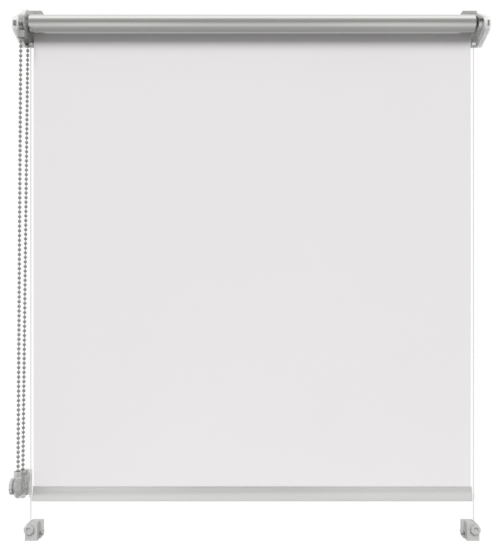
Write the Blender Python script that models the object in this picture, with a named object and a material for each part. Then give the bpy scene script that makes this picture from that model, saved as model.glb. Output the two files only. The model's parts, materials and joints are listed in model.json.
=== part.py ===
"""Small chain-driven roller blind with guide wires, for one window sash.

Metres, +Z up. The window face is the plane Y = 0 and the room is towards -Y. Z = 0 is the
height of the roller's axis. X = 0 is the middle of the drive bracket's mounting face, and
the drive side is the -X side. Pieces are laid out from the blind's middle, so every one of
them hangs from the empty blind_middle.
"""
import math

import bmesh
import bpy
from mathutils import Vector

# ---- driving dimensions ----
GAP = 0.0003                 # clearance between pieces that touch
FABRIC_WIDTH = 0.570
DROP = 0.5990                # roller axis down to the top edge of the bottom bar
FABRIC_THICK = 0.0004
AXIS_DEPTH = 0.02075         # window face out to the roller axis

TUBE_RADIUS = 0.0085
TUBE_WALL = 0.0009
ROLL_RADIUS = 0.0116         # tube with the cloth that stays wound on it
TAPE_THICK = 0.0005
TAPE_HALF_ANGLE = 35

DRIVE_ROOM = 0.0116          # end of the cloth to the inner face of the drive side plate
IDLER_ROOM = 0.0094          # the same on the idler side
PLATE_THICK = 0.0018
BACK_THICK = 0.0020
BACK_INNER = 0.0121          # back plate's inner edge, inwards from the end of the cloth
BACK_OUTER = 0.0103          # back plate's outer edge, outwards from the end of the cloth
BACK_TOP = 0.0242
BACK_BOTTOM = -0.0238
CHAMFER_WIDE, CHAMFER_TALL = 0.0040, 0.0060
NOSE_RADIUS = 0.0105         # rounded front of the side plates
NOSE_FORWARD, NOSE_DOWN = 0.0040, 0.0030   # its centre, in front of and below the roller axis
NOSE_TOP = 0.0215            # side plate's top corner at the window
NOSE_BOTTOM = -0.0235        # side plate's bottom corner at the window

COVER_DEPTH = 0.0061
COVER_PROUD = 0.0004          # cover's outside over the edge of the side plate
COVER_WALL = 0.0012
COVER_ROUND = 0.0014
SLOT_WIDE = 0.0046           # slot in a cover's front, which clips over a catch on the side plate
CATCH_THICK = 0.0022
SLOT_TOP, SLOT_BOTTOM = 0.0006, -0.0071

UPPER_SCREW, LOWER_SCREW = 0.0140, -0.0155
LOWER_SHIFT = {-1: 0.0, 1: 0.0035}   # lower screw outwards of the upper one, by side

BEAD_PITCH = 0.0060
BEAD_RADIUS = 0.0022
DRIVE_POCKETS = 15
PULLEY_POCKETS = 10
WHEEL_WIDTH = 0.0060
WHEEL_INSET = 0.0033         # drive side plate in to the middle of the chain wheel

HOUSING_WIDTH = 0.0088
HOUSING_WALL = 0.0012
HOUSING_RADIUS = 0.0166
CHUTE_TOP, CHUTE_BOTTOM = -0.0140, -0.0225
HOOD_WALL = 0.0006
HOOD_START, HOOD_END = 95, 191  # degrees round the axis, from the window over the top
CORE_RADIUS = 0.0030
CORE_LENGTH = 0.0340
PLUG_LENGTH = 0.0230
PLUG_FLANGE = 0.0015
SPRING_WIRE = 0.0004
SPRING_TURNS = 4
IDLER_HUB_RADIUS = 0.0083
IDLER_HUB_WIDTH = 0.0045
IDLER_PIN_RADIUS = 0.0025

BAR_HEIGHT = 0.0184
BAR_THICK = 0.0080
BAR_TOP_THICK = 0.0034
BAR_CREASE = 0.0085          # bar's top edge down to where its faces become upright
BAR_SLOT = 0.0016
SPLINE_RADIUS = 0.0011
CAP_THICK = 0.0016
EYELET_DROP = 0.0108         # bar's top edge down to the top of its wire eyelets
EYELET_TALL = 0.0030

WIRE_RADIUS = 0.0005
WIRE_OUT = 0.0039            # end of the cloth out to the guide wire
FERRULE_RADIUS = 0.0011
LUG_TALL = 0.0035

HOLDER_TOP = 0.0457          # bar's top edge down to the top of the wire holders
HOLDER_HEIGHT = 0.0245
HOLDER_DEPTH = 0.0140
HOLDER_PLATE = 0.0022
HOLDER_KNOB_RADIUS = 0.0066
HOLDER_KNOB_WIDTH = 0.0045
KNOB_DROP = 0.0082           # holder's top down to its knob's axis
CLAMP_RADIUS = 0.0018        # knob's screw
WIRE_TAIL = 0.0090           # wire below the knob's axis

PULLEY_DROP = 0.5955         # roller axis down to the tensioner pulley's axis
PULLEY_OUT = 0.0136          # end of the cloth out to the middle of the pulley
PULLEY_WIDTH = 0.0050
PULLEY_BORE = 0.0019
INNER_ROOM, OUTER_ROOM = 0.0042, 0.0029   # middle of the pulley to its cheeks
OUTER_THICK = 0.0010
CHEEK_THICK = 0.0014
CHEEK_RADIUS = 0.0145
CHEEK_RISE = 0.0070          # inner cheek's top edge, from the sash up to its front
BOSS_RADIUS = 0.0085
TENSIONER_KNOB_RADIUS = 0.0105
SCREW_LENGTH = 0.0120

# ---- sizes worked out from them ----
HALF = FABRIC_WIDTH / 2
NOSE_CENTRE = (-AXIS_DEPTH - NOSE_FORWARD, -NOSE_DOWN)
NOSE_FRONT = NOSE_CENTRE[0] - NOSE_RADIUS
DRIVE, IDLER = -1, 1
PLATE_IN = {DRIVE: HALF + DRIVE_ROOM, IDLER: HALF + IDLER_ROOM}
MOUNT_X = HALF + (BACK_OUTER - BACK_INNER) / 2
FABRIC_Y = -AXIS_DEPTH + ROLL_RADIUS + GAP + FABRIC_THICK / 2
DRIVE_PITCH = DRIVE_POCKETS * BEAD_PITCH / (2 * math.pi)
PULLEY_PITCH = PULLEY_POCKETS * BEAD_PITCH / (2 * math.pi)
WHEEL_X = PLATE_IN[DRIVE] - WHEEL_INSET
PULLEY_X = HALF + PULLEY_OUT
WIRE_X = HALF + WIRE_OUT
TUBE_BORE = TUBE_RADIUS - TUBE_WALL
BAR_Z = -DROP
HOLDER_Z = BAR_Z - HOLDER_TOP


def clear_scene():
    for obj in list(bpy.data.objects):
        bpy.data.objects.remove(obj)


def finish(name, colour, roughness, metallic, alpha=1.0):
    material = bpy.data.materials.new(name)
    material.use_nodes = True
    shader = material.node_tree.nodes["Principled BSDF"]
    shader.inputs["Base Color"].default_value = (*colour, 1.0)
    shader.inputs["Roughness"].default_value = roughness
    shader.inputs["Metallic"].default_value = metallic
    shader.inputs["Alpha"].default_value = alpha
    material.diffuse_color = (*colour, alpha)
    return material


STEEL = ((0.42, 0.42, 0.41), 0.38, 1.0)
DARK = ((0.16, 0.16, 0.16), 0.45, 0.0)
GREY = ((0.52, 0.52, 0.51), 0.40, 0.0)
CLEAR = ((0.80, 0.81, 0.80), 0.25, 0.0, 0.6)
WHITE = ((0.78, 0.77, 0.76), 0.60, 0.0)
SILVER = ((0.66, 0.66, 0.64), 0.30, 0.8)
ALUMINIUM = ((0.70, 0.70, 0.69), 0.35, 1.0)


def empty(name, parent, place):
    point = bpy.data.objects.new(name, None)
    bpy.context.scene.collection.objects.link(point)
    point.parent = parent
    point.location = place
    return point


def add_object(name, bm, look, parent, sharp=35):
    """Turns a bmesh into a named object with its own material."""
    bmesh.ops.recalc_face_normals(bm, faces=bm.faces)
    mesh = bpy.data.meshes.new(name)
    bm.to_mesh(mesh)
    bm.free()
    mesh.shade_smooth()
    mesh.set_sharp_from_angle(angle=math.radians(sharp))
    obj = bpy.data.objects.new(name, mesh)
    bpy.context.scene.collection.objects.link(obj)
    obj.parent = parent
    if look:
        mesh.materials.append(finish(name, *look))
    else:
        obj.hide_render = True
        obj.display_type = "WIRE"
    return obj


def combine(obj, operation, *others):
    """Cuts helpers from an object, or joins them to it, and keeps them as hidden wires."""
    for other in others:
        other.hide_render = True
        other.display_type = "WIRE"
        step = obj.modifiers.new(other.name, "BOOLEAN")
        step.operation = operation
        step.solver = "EXACT"
        step.object = other
    return obj


def cut(obj, *others):
    return combine(obj, "DIFFERENCE", *others)


def join(obj, *others):
    return combine(obj, "UNION", *others)


PLANES = {
    "X": lambda u, v, w: (w, u, v),
    "Y": lambda u, v, w: (u, w, v),
    "Z": lambda u, v, w: (u, v, w),
}


def prism(name, outline, along, start, end, parent, look=None, round_end=0.0):
    """A straight solid with this outline; round_end rounds the edge of its end face."""
    bm = bmesh.new()
    place = PLANES[along]
    bottom = [bm.verts.new(place(u, v, start)) for u, v in outline]
    top = [bm.verts.new(place(u, v, end)) for u, v in outline]
    bm.faces.new(bottom)
    bm.faces.new(top)
    for i in range(len(outline)):
        j = (i + 1) % len(outline)
        bm.faces.new((bottom[i], bottom[j], top[j], top[i]))
    if round_end:
        ring = set(top)
        edges = [edge for edge in bm.edges if set(edge.verts) <= ring]
        bmesh.ops.bevel(bm, geom=edges, offset=round_end, segments=3, profile=0.5,
                        affect="EDGES", clamp_overlap=True)
    return add_object(name, bm, look, parent)


def box(name, low, high, parent, look=None):
    outline = [(low[0], low[1]), (high[0], low[1]), (high[0], high[1]), (low[0], high[1])]
    return prism(name, outline, "Z", low[2], high[2], parent, look)


def turned(name, profile, parent, look=None, axis="X", segments=32, ring=False):
    """A turned solid from (place along the axis, radius) points; a ring has a bore."""
    bm = bmesh.new()
    place = PLANES[axis]
    rows = []
    for step in range(segments):
        angle = 2 * math.pi * step / segments
        rows.append([bm.verts.new(place(r * math.cos(angle), r * math.sin(angle), w))
                     for w, r in profile])
    sides = len(profile) if ring else len(profile) - 1
    for step in range(segments):
        here, there = rows[step], rows[(step + 1) % segments]
        for i in range(sides):
            j = (i + 1) % len(profile)
            bm.faces.new((here[i], here[j], there[j], there[i]))
    if not ring:
        bm.faces.new([row[0] for row in rows])
        bm.faces.new([row[-1] for row in rows])
    return add_object(name, bm, look, parent)


def arc(centre, radius, start, end, steps):
    """Points on an arc, angles in degrees from the first axis towards the second."""
    turn = [math.radians(start + (end - start) * i / steps) for i in range(steps + 1)]
    return [(centre[0] + radius * math.cos(a), centre[1] + radius * math.sin(a)) for a in turn]


def nose(centre, radius, top, bottom, steps=16, wall=0.0):
    """Outline of a side plate: two straight edges from the window run into a round nose.

    centre, top and bottom are (depth, height) and heights in the plate's own plane.
    """
    ends = []
    for height, sense in ((top, 1), (bottom, -1)):
        away = Vector((wall - centre[0], height - centre[1]))
        lean = math.degrees(math.acos(radius / away.length))
        ends.append(math.degrees(math.atan2(away.y, away.x)) + sense * lean)
    return [(wall, top)] + arc(centre, radius, ends[0], ends[1] + 360, steps) + [(wall, bottom)]


def tube_along(name, points, radius, parent, look, sides=8):
    """A straight or bent rod through points, with filled ends."""
    bm = bmesh.new()
    rings = []
    for i, point in enumerate(points):
        ahead = Vector(points[min(i + 1, len(points) - 1)]) - Vector(points[max(i - 1, 0)])
        turn = ahead.to_track_quat("Z", "X").to_matrix()
        rings.append([bm.verts.new(Vector(point) + turn @ Vector(
            (radius * math.cos(2 * math.pi * k / sides), radius * math.sin(2 * math.pi * k / sides), 0)))
            for k in range(sides)])
    for low, high in zip(rings, rings[1:]):
        for k in range(sides):
            m = (k + 1) % sides
            bm.faces.new((low[k], low[m], high[m], high[k]))
    bm.faces.new(rings[0])
    bm.faces.new(rings[-1])
    return add_object(name, bm, look, parent)


def screw(name, x, z, seat, head_radius, parent):
    """Pan-head screw into the window frame, its head seated seat metres off the window."""
    shank = head_radius * 0.5
    profile = [(SCREW_LENGTH - seat, shank * 0.3), (SCREW_LENGTH - seat - 0.002, shank),
               (-seat - GAP, shank), (-seat - GAP, head_radius),
               (-seat - GAP - 0.0008, head_radius), (-seat - GAP - 0.0018, head_radius * 0.6)]
    body = turned(name, profile, empty(name + "_axis", parent, (x, 0, z)), STEEL, "Y", 20)
    half, deep = head_radius * 0.45, seat + GAP + 0.0009
    for turn, (wide, tall) in enumerate(((half, 0.0004), (0.0004, half))):
        cut(body, box(f"{name}_recess_{turn}", (-wide, -deep - 0.002, -tall),
                      (wide, -deep, tall), body.parent))
    return body


# ---- brackets, covers and what they carry ----
def side_outline(grow=0.0):
    return nose(NOSE_CENTRE, NOSE_RADIUS + grow, NOSE_TOP + grow, NOSE_BOTTOM - grow)


def bracket(name, side, parent):
    """Pressed angle bracket: back plate on the window, side plate and wire lug."""
    inner, outer = HALF - BACK_INNER, HALF + BACK_OUTER
    edge = PLATE_IN[side] + PLATE_THICK
    outline = [(inner, BACK_BOTTOM), (edge, BACK_BOTTOM), (edge, NOSE_TOP), (outer, NOSE_TOP),
               (outer, BACK_TOP), (inner + CHAMFER_WIDE, BACK_TOP), (inner, BACK_TOP - CHAMFER_TALL)]
    flat = [(side * x, z) for x, z in outline]
    body = prism(name, flat, "Y", -BACK_THICK, 0, parent, STEEL)
    plate = prism(name + "_plate", side_outline(), "X",
                  side * PLATE_IN[side], side * edge, parent)
    bottom = BACK_BOTTOM - 0.0006
    lug = box(name + "_lug", (min(side * (WIRE_X - 0.0026), side * (WIRE_X + 0.0019)),
                              FABRIC_Y - 0.0030, bottom),
              (max(side * (WIRE_X - 0.0026), side * (WIRE_X + 0.0019)), -BACK_THICK / 2,
               bottom + LUG_TALL), parent)
    within = NOSE_RADIUS + COVER_PROUD - COVER_WALL - GAP
    lean = [180 - math.degrees(math.asin((z + NOSE_DOWN) / within))
            for z in (SLOT_TOP - GAP, SLOT_BOTTOM + GAP)]
    tongue = (arc(NOSE_CENTRE, within, *lean, 8)
              + arc(NOSE_CENTRE, within - CATCH_THICK, *lean[::-1], 8))
    catch = prism(name + "_catch", tongue, "X", side * (edge - PLATE_THICK / 2),
                  side * (edge + COVER_DEPTH - COVER_WALL), parent)
    join(body, plate, lug, catch)
    at_wire = empty(name + "_wire", parent, (side * WIRE_X, FABRIC_Y, bottom))
    cut(body, turned(name + "_wire_hole", [(-0.001, WIRE_RADIUS + GAP), (0.0012, WIRE_RADIUS + GAP)],
                     at_wire, axis="Z", segments=12))
    cut(body, turned(name + "_ferrule_seat", [(0.0010, FERRULE_RADIUS + GAP),
                                              (LUG_TALL + 0.001, FERRULE_RADIUS + GAP)],
                     at_wire, axis="Z", segments=16))
    for label, x, z in (("upper", MOUNT_X, UPPER_SCREW), ("lower", MOUNT_X + LOWER_SHIFT[side], LOWER_SCREW)):
        cut(body, turned(f"{name}_{label}_hole", [(-0.005, 0.0019), (0.002, 0.0019)],
                         empty(f"{name}_{label}", parent, (side * x, 0, z)), axis="Y", segments=16))
        screw(f"{name}_screw_{label}", side * x, z, BACK_THICK, 0.0029, parent)
    ferrule = [(0.0010 + GAP, WIRE_RADIUS + GAP), (LUG_TALL - 0.0002, WIRE_RADIUS + GAP),
               (LUG_TALL - 0.0002, FERRULE_RADIUS), (0.0010 + GAP, FERRULE_RADIUS)]
    word = "left" if side == DRIVE else "right"
    turned("wire_ferrule_" + word, ferrule, at_wire, STEEL, "Z", 16, ring=True)
    return body


def end_cover(name, side, parent):
    """Clear moulded cap that clips over the outside of a side plate."""
    start = PLATE_IN[side] + PLATE_THICK + GAP
    end = start + COVER_DEPTH
    body = prism(name, side_outline(COVER_PROUD), "X", side * start, side * end, parent, CLEAR,
                 round_end=COVER_ROUND)
    pocket = prism(name + "_pocket", nose(NOSE_CENTRE, NOSE_RADIUS + COVER_PROUD - COVER_WALL,
                                          NOSE_TOP - COVER_WALL, NOSE_BOTTOM + COVER_WALL,
                                          wall=-COVER_WALL),
                   "X", side * (start - 0.001), side * (end - COVER_WALL), parent)
    middle = (start + end) / 2
    slot = box(name + "_slot", (side * middle - SLOT_WIDE / 2, NOSE_FRONT - 0.002,
                                SLOT_BOTTOM),
               (side * middle + SLOT_WIDE / 2, NOSE_FRONT + 0.004, SLOT_TOP), parent)
    return cut(body, pocket, slot)


def idler_hood(parent):
    """Rim along the top of the idler bracket, notched at its front edge."""
    inner = PLATE_IN[IDLER] - 0.0068
    path = nose(NOSE_CENTRE, NOSE_RADIUS, NOSE_TOP, NOSE_BOTTOM)
    inside = nose(NOSE_CENTRE, NOSE_RADIUS - 0.0012, NOSE_TOP - 0.0012, NOSE_BOTTOM)
    keep = 6
    outline = path[:keep] + inside[:keep][::-1]
    return prism("idler_hood", outline, "X", inner, PLATE_IN[IDLER] + PLATE_THICK / 2, parent)


def drive_housing(parent):
    """Moulded chain housing: hollow nose open to the side plate, with a hood and a chain chute."""
    start = PLATE_IN[DRIVE] - GAP
    end = start - HOUSING_WIDTH
    centre = (-AXIS_DEPTH, 0)
    back = -BACK_THICK - GAP
    outline = nose(centre, HOUSING_RADIUS, NOSE_TOP, NOSE_BOTTOM, steps=20, wall=back)
    body = prism("drive_housing", outline, "X", -start, -end, parent, CLEAR)
    reach = DRIVE_PITCH + BEAD_RADIUS
    front = -AXIS_DEPTH - reach - GAP - HOUSING_WALL
    chute = box("drive_housing_chute", (-start, front, CHUTE_BOTTOM),
                (-end, -AXIS_DEPTH - HOUSING_RADIUS / 2, CHUTE_TOP), parent)
    over = arc(centre, reach + GAP + HOOD_WALL, HOOD_START, HOOD_END, 20)
    under = arc(centre, HOUSING_RADIUS - HOUSING_WALL / 2, HOOD_START, HOOD_END, 20)
    hood = prism("drive_housing_hood", over + under[::-1], "X", -start, -end, parent)
    join(body, chute, hood)
    inner = nose(centre, HOUSING_RADIUS - HOUSING_WALL, NOSE_TOP - HOUSING_WALL,
                 NOSE_BOTTOM + HOUSING_WALL, steps=20, wall=back - HOUSING_WALL)
    cut(body, prism("drive_housing_pocket", inner, "X", -start - 0.001,
                    -end - HOUSING_WALL - 0.0003, parent))
    wide = BEAD_RADIUS + 2 * GAP
    cut(body, turned("drive_housing_swing", [(-WHEEL_X - WHEEL_WIDTH, reach + GAP),
                                             (-WHEEL_X + wide, reach + GAP)],
                     empty("drive_housing_wheel", parent, (0, -AXIS_DEPTH, 0)), segments=48))
    for label, depth in (("front", -AXIS_DEPTH - DRIVE_PITCH), ("rear", -AXIS_DEPTH + DRIVE_PITCH)):
        cut(body, box(f"drive_housing_{label}_run", (-WHEEL_X - wide, depth - wide, -0.03),
                      (-WHEEL_X + wide, depth + wide, 0.0), parent))
    cut(body, turned("drive_housing_bore", [(-start, 0.0060), (-end + 0.001, 0.0060)],
                     empty("drive_housing_axis", parent, (0, -AXIS_DEPTH, 0))))
    cut(body, box("drive_housing_lug_room", (-WIRE_X - 0.0023, FABRIC_Y - 0.0034, -0.03),
                  (-end + 0.001, 0.001, BACK_BOTTOM - 0.0006 + LUG_TALL + GAP), parent))
    return body


def chain_wheel(name, pockets, pitch, width, bore, hub, parent, look):
    """Wheel with a groove whose floor dips into one pocket for each bead."""
    steps = pockets * 6
    rim, crest, dip, floor_half = pitch + 0.0004, pitch - BEAD_RADIUS - GAP, 0.0007, 0.0018
    bm = bmesh.new()
    rows = []
    for step in range(steps):
        angle = 2 * math.pi * step / steps
        floor = crest - dip * (0.5 + 0.5 * math.cos(pockets * angle))
        profile = [(-width / 2, bore), (-width / 2, rim), (-BEAD_RADIUS - GAP, rim),
                   (-floor_half, floor), (floor_half, floor), (BEAD_RADIUS + GAP, rim),
                   (width / 2, rim), (width / 2, hub[1]), (width / 2 + hub[0], hub[1]),
                   (width / 2 + hub[0], bore)]
        rows.append([bm.verts.new((w, r * math.cos(angle), r * math.sin(angle)))
                     for w, r in profile])
    for step in range(steps):
        here, there = rows[step], rows[(step + 1) % steps]
        for i in range(len(here)):
            j = (i + 1) % len(here)
            bm.faces.new((here[i], here[j], there[j], there[i]))
    return add_object(name, bm, look, parent)


def coil_spring(name, start, radius, parent):
    """Wrap spring round the drive core."""
    steps = SPRING_TURNS * 12
    length = SPRING_TURNS * SPRING_WIRE * 2.6
    points = []
    for i in range(steps + 1):
        angle = 2 * math.pi * SPRING_TURNS * i / steps
        points.append((start + length * i / steps, radius * math.cos(angle), radius * math.sin(angle)))
    return tube_along(name, points, SPRING_WIRE, parent, STEEL, sides=5)


# ---- the roller and its ends ----
def roller(parent):
    axis = empty("roller_axis", parent, (0, -AXIS_DEPTH, 0))
    turned("roller_tube", [(-HALF, TUBE_BORE), (HALF, TUBE_BORE), (HALF, TUBE_RADIUS),
                           (-HALF, TUBE_RADIUS)], axis, ALUMINIUM, segments=40, ring=True)
    roll_bore = TUBE_RADIUS + GAP
    cloth = turned("fabric_roll", [(-HALF, roll_bore), (HALF, roll_bore), (HALF, ROLL_RADIUS),
                                   (-HALF, ROLL_RADIUS)], axis, SILVER, segments=40, ring=True)
    reach = HALF - 0.001

    def band(name, low, high, half_angle, length, look=None):
        outline = (arc((0, 0), high, 90 - half_angle, 90 + half_angle, 8)
                   + arc((0, 0), low, 90 + half_angle, 90 - half_angle, 8))
        return prism(name, outline, "X", -length, length, axis, look)

    cut(cloth, band("tape_room", roll_bore - 0.0005, roll_bore + TAPE_THICK + 2 * GAP,
                    TAPE_HALF_ANGLE + 2, HALF + 0.001))
    band("fixing_tape", roll_bore + GAP / 2, roll_bore + GAP / 2 + TAPE_THICK,
         TAPE_HALF_ANGLE, reach, WHITE)

    plug = TUBE_BORE - GAP
    face = HALF + GAP
    spring_room = CORE_RADIUS + 2 * GAP + 2 * SPRING_WIRE + GAP
    hub = CORE_RADIUS + 0.0022
    turned("drive_plug", [(-face - PLUG_FLANGE, hub + GAP), (-face - PLUG_FLANGE, TUBE_RADIUS - GAP),
                          (-face, TUBE_RADIUS - GAP), (-face, plug), (-HALF + PLUG_LENGTH, plug - 0.0005),
                          (-HALF + PLUG_LENGTH, spring_room), (-HALF + 0.001, spring_room),
                          (-HALF + 0.001, hub + GAP)], axis, DARK, ring=True)
    turned("idler_plug", [(face + PLUG_FLANGE, IDLER_PIN_RADIUS + GAP),
                          (face + PLUG_FLANGE, TUBE_RADIUS - GAP), (face, TUBE_RADIUS - GAP),
                          (face, plug), (HALF - PLUG_LENGTH, plug - 0.0005),
                          (HALF - PLUG_LENGTH, IDLER_PIN_RADIUS + GAP)], axis, DARK, ring=True)
    hub_length = WHEEL_X - WHEEL_WIDTH / 2 - HALF
    chain_wheel("chain_wheel", DRIVE_POCKETS, DRIVE_PITCH, WHEEL_WIDTH, CORE_RADIUS + GAP,
                (hub_length, hub), empty("chain_wheel_plane", axis, (-WHEEL_X, 0, 0)), GREY)
    first = -HALF + 0.0030
    for number in (1, 2):
        coil_spring(f"clutch_spring_{number}", first + (number - 1) * 0.0070,
                    CORE_RADIUS + 2 * GAP + SPRING_WIRE, axis)
    start = -PLATE_IN[DRIVE] + GAP
    turned("drive_core", [(start, CORE_RADIUS), (start + CORE_LENGTH - 0.001, CORE_RADIUS),
                          (start + CORE_LENGTH, CORE_RADIUS - 0.0008)], axis, DARK, segments=24)
    hub_out = PLATE_IN[IDLER] - GAP
    turned("idler_hub", [(hub_out, IDLER_HUB_RADIUS), (hub_out - IDLER_HUB_WIDTH + 0.0006, IDLER_HUB_RADIUS),
                         (hub_out - IDLER_HUB_WIDTH, IDLER_HUB_RADIUS - 0.0006)], axis, GREY, segments=40)
    pin_out = hub_out - IDLER_HUB_WIDTH - GAP
    turned("idler_pin", [(pin_out, IDLER_PIN_RADIUS), (HALF - PLUG_LENGTH + 0.003, IDLER_PIN_RADIUS),
                         (HALF - PLUG_LENGTH + 0.001, IDLER_PIN_RADIUS - 0.001)], axis, STEEL, segments=24)


# ---- cloth and bottom bar ----
def bar_outline():
    half, top = BAR_THICK / 2, BAR_TOP_THICK / 2
    right = [(top, 0), (half, -BAR_CREASE), (half, -BAR_HEIGHT + 0.0022)]
    foot = arc((half - 0.0022, -BAR_HEIGHT + 0.0022), 0.0022, 0, -90, 4)[1:]
    side = right + foot
    return side + [(-y, z) for y, z in reversed(side)]


def bottom_bar(parent):
    at = empty("bar_slide", parent, (0, FABRIC_Y, BAR_Z))
    body = prism("bottom_bar", bar_outline(), "X", -HALF, HALF, at, ALUMINIUM)
    long = HALF + 0.001
    chamber = SPLINE_RADIUS + GAP + FABRIC_THICK + GAP + 0.0002
    depth = -0.0062
    cut(body, turned("bar_chamber", [(-long, chamber), (long, chamber)],
                     empty("bar_spline_axis", at, (0, 0, depth)), segments=20))
    cut(body, box("bar_slot", (-long, -BAR_SLOT / 2, depth), (long, BAR_SLOT / 2, 0.001), at))
    low = -BAR_HEIGHT + 0.0013
    cut(body, box("bar_hollow", (-long, -BAR_THICK / 2 + 0.0013, low),
                  (long, BAR_THICK / 2 - 0.0013, depth - chamber - 0.0012), at))
    rod = empty("bar_rod_axis", at, (0, 0, depth))
    turned("bar_spline", [(-HALF + 0.001, SPLINE_RADIUS), (HALF - 0.001, SPLINE_RADIUS)],
           rod, DARK, segments=16)
    hem_in = SPLINE_RADIUS + GAP
    hem = turned("fabric_hem", [(-HALF, hem_in), (HALF, hem_in), (HALF, hem_in + FABRIC_THICK),
                                (-HALF, hem_in + FABRIC_THICK)], rod, WHITE, segments=16, ring=True)
    join(hem, box("fabric_hem_leg", (-HALF, -FABRIC_THICK / 2, depth + hem_in + FABRIC_THICK / 2),
                  (HALF, FABRIC_THICK / 2, -GAP), at))
    for word, side in (("left", DRIVE), ("right", IDLER)):
        face = HALF + GAP
        cap = prism("bar_cap_" + word, bar_outline(), "X", side * face,
                    side * (face + CAP_THICK), at, WHITE)
        ends = sorted((side * (face + CAP_THICK / 2), side * (WIRE_X + 0.0017)))
        join(cap, box(f"bar_cap_{word}_eyelet", (ends[0], -0.0018, -EYELET_DROP - EYELET_TALL),
                      (ends[1], 0.0018, -EYELET_DROP), at))
        cut(cap, turned(f"bar_cap_{word}_hole", [(-BAR_HEIGHT, WIRE_RADIUS + GAP),
                                                 (0.0, WIRE_RADIUS + GAP)],
                        empty(f"bar_cap_{word}_wire", at, (side * WIRE_X, 0, 0)),
                        axis="Z", segments=12))
    box("fabric_sheet", (-HALF, FABRIC_Y - FABRIC_THICK / 2, BAR_Z + GAP / 2),
        (HALF, FABRIC_Y + FABRIC_THICK / 2, 0.0), parent, WHITE)


# ---- guide wires and their lower holders ----
def holder(word, side, parent):
    """Moulded holder on the sash; its knob's screw pinches the lower end of a guide wire."""
    plate_in, block_in, out = HALF - 0.0106, HALF - 0.0062, HALF + 0.0098
    top, bottom = HOLDER_Z, HOLDER_Z - HOLDER_HEIGHT
    flat = [(plate_in, top), (out - 0.0060, top), (out, top - 0.0060), (out, bottom),
            (plate_in + 0.0035, bottom), (plate_in, bottom + 0.0045)]
    body = prism("wire_holder_" + word, [(side * x, z) for x, z in flat], "Y", -HOLDER_PLATE, 0,
                 parent, CLEAR)
    block = ([(block_in, bottom + 0.0010), (out, bottom + 0.0010)]
             + arc((out - 0.0075, top - 0.0075), 0.0075, 0, 90, 8)
             + arc((block_in + 0.0020, top - 0.0020), 0.0020, 90, 180, 3))
    join(body, prism(f"holder_block_{word}", [(side * x, z) for x, z in block], "Y",
                     -HOLDER_DEPTH, -0.001, parent))
    axis = empty(f"holder_{word}_axis", parent, (side * WIRE_X, 0, HOLDER_Z - KNOB_DROP))
    tip = FABRIC_Y - WIRE_RADIUS - GAP
    cut(body, turned(f"holder_{word}_bore", [(-HOLDER_DEPTH - 0.001, CLAMP_RADIUS + GAP),
                                             (tip + 0.0007, CLAMP_RADIUS + GAP)], axis,
                     axis="Y", segments=20))
    cut(body, turned(f"holder_{word}_wire_hole", [(-WIRE_TAIL - 0.001, WIRE_RADIUS + GAP),
                                                  (0.02, WIRE_RADIUS + GAP)],
                     empty(f"holder_{word}_wire", axis, (0, FABRIC_Y, 0)), axis="Z", segments=12))
    screw_x, screw_z = plate_in + 0.0024, bottom + 0.0068
    cut(body, turned(f"holder_{word}_hole", [(-0.004, 0.0014), (0.002, 0.0014)],
                     empty(f"holder_{word}_screw", parent, (side * screw_x, 0, screw_z)),
                     axis="Y", segments=16))
    cut(body, turned(f"holder_{word}_head_room", [(-HOLDER_DEPTH - 0.001, 0.0021 + GAP),
                                                  (-HOLDER_PLATE, 0.0021 + GAP)],
                     empty(f"holder_{word}_head", parent, (side * screw_x, 0, screw_z)),
                     axis="Y", segments=24))
    screw(f"holder_screw_{word}", side * screw_x, screw_z, HOLDER_PLATE, 0.0021, parent)
    octagon = arc((0, 0), HOLDER_KNOB_RADIUS, 22.5, 22.5 + 315, 7)
    back = -HOLDER_DEPTH - GAP
    knob = prism(f"holder_knob_{word}", octagon, "Y", back, back - HOLDER_KNOB_WIDTH, axis, CLEAR,
                 round_end=0.0009)
    join(knob, turned(f"holder_knob_{word}_shaft", [(tip, CLAMP_RADIUS), (back - 0.001, CLAMP_RADIUS)],
                      axis, axis="Y", segments=20))
    return cut(knob, turned(f"holder_knob_{word}_socket",
                            [(back - HOLDER_KNOB_WIDTH - 0.001, 0.0034),
                             (back - HOLDER_KNOB_WIDTH + 0.0022, 0.0030)],
                            axis, axis="Y", segments=24))


def guide_wire(word, side, parent):
    top, bottom = BACK_BOTTOM - 0.0006 + LUG_TALL, HOLDER_Z - KNOB_DROP - WIRE_TAIL
    return tube_along("guide_wire_" + word, [(side * WIRE_X, FABRIC_Y, top),
                                             (side * WIRE_X, FABRIC_Y, bottom)],
                      WIRE_RADIUS, parent, STEEL)


# ---- bead chain and its tensioner ----
def chain(parent):
    """The endless bead chain as the plain tube that its beads fill."""
    top, low = -GAP / 2, -PULLEY_DROP + GAP / 2
    for word, sense in (("front", -1), ("rear", 1)):
        tube_along(f"chain_{word}_strand",
                   [(-WHEEL_X, -AXIS_DEPTH + sense * DRIVE_PITCH, top),
                    (-PULLEY_X, -AXIS_DEPTH + sense * PULLEY_PITCH, low)],
                   BEAD_RADIUS, parent, STEEL)
    for name, x, z, radius, start in (("chain_top_loop", -WHEEL_X, GAP / 2, DRIVE_PITCH, 0),
                                      ("chain_bottom_loop", -PULLEY_X, -PULLEY_DROP - GAP / 2,
                                       PULLEY_PITCH, 180)):
        path = arc((-AXIS_DEPTH, z), radius, start, start + 180, 14)
        tube_along(name, [(x, y, height) for y, height in path], BEAD_RADIUS, parent, STEEL)


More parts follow.
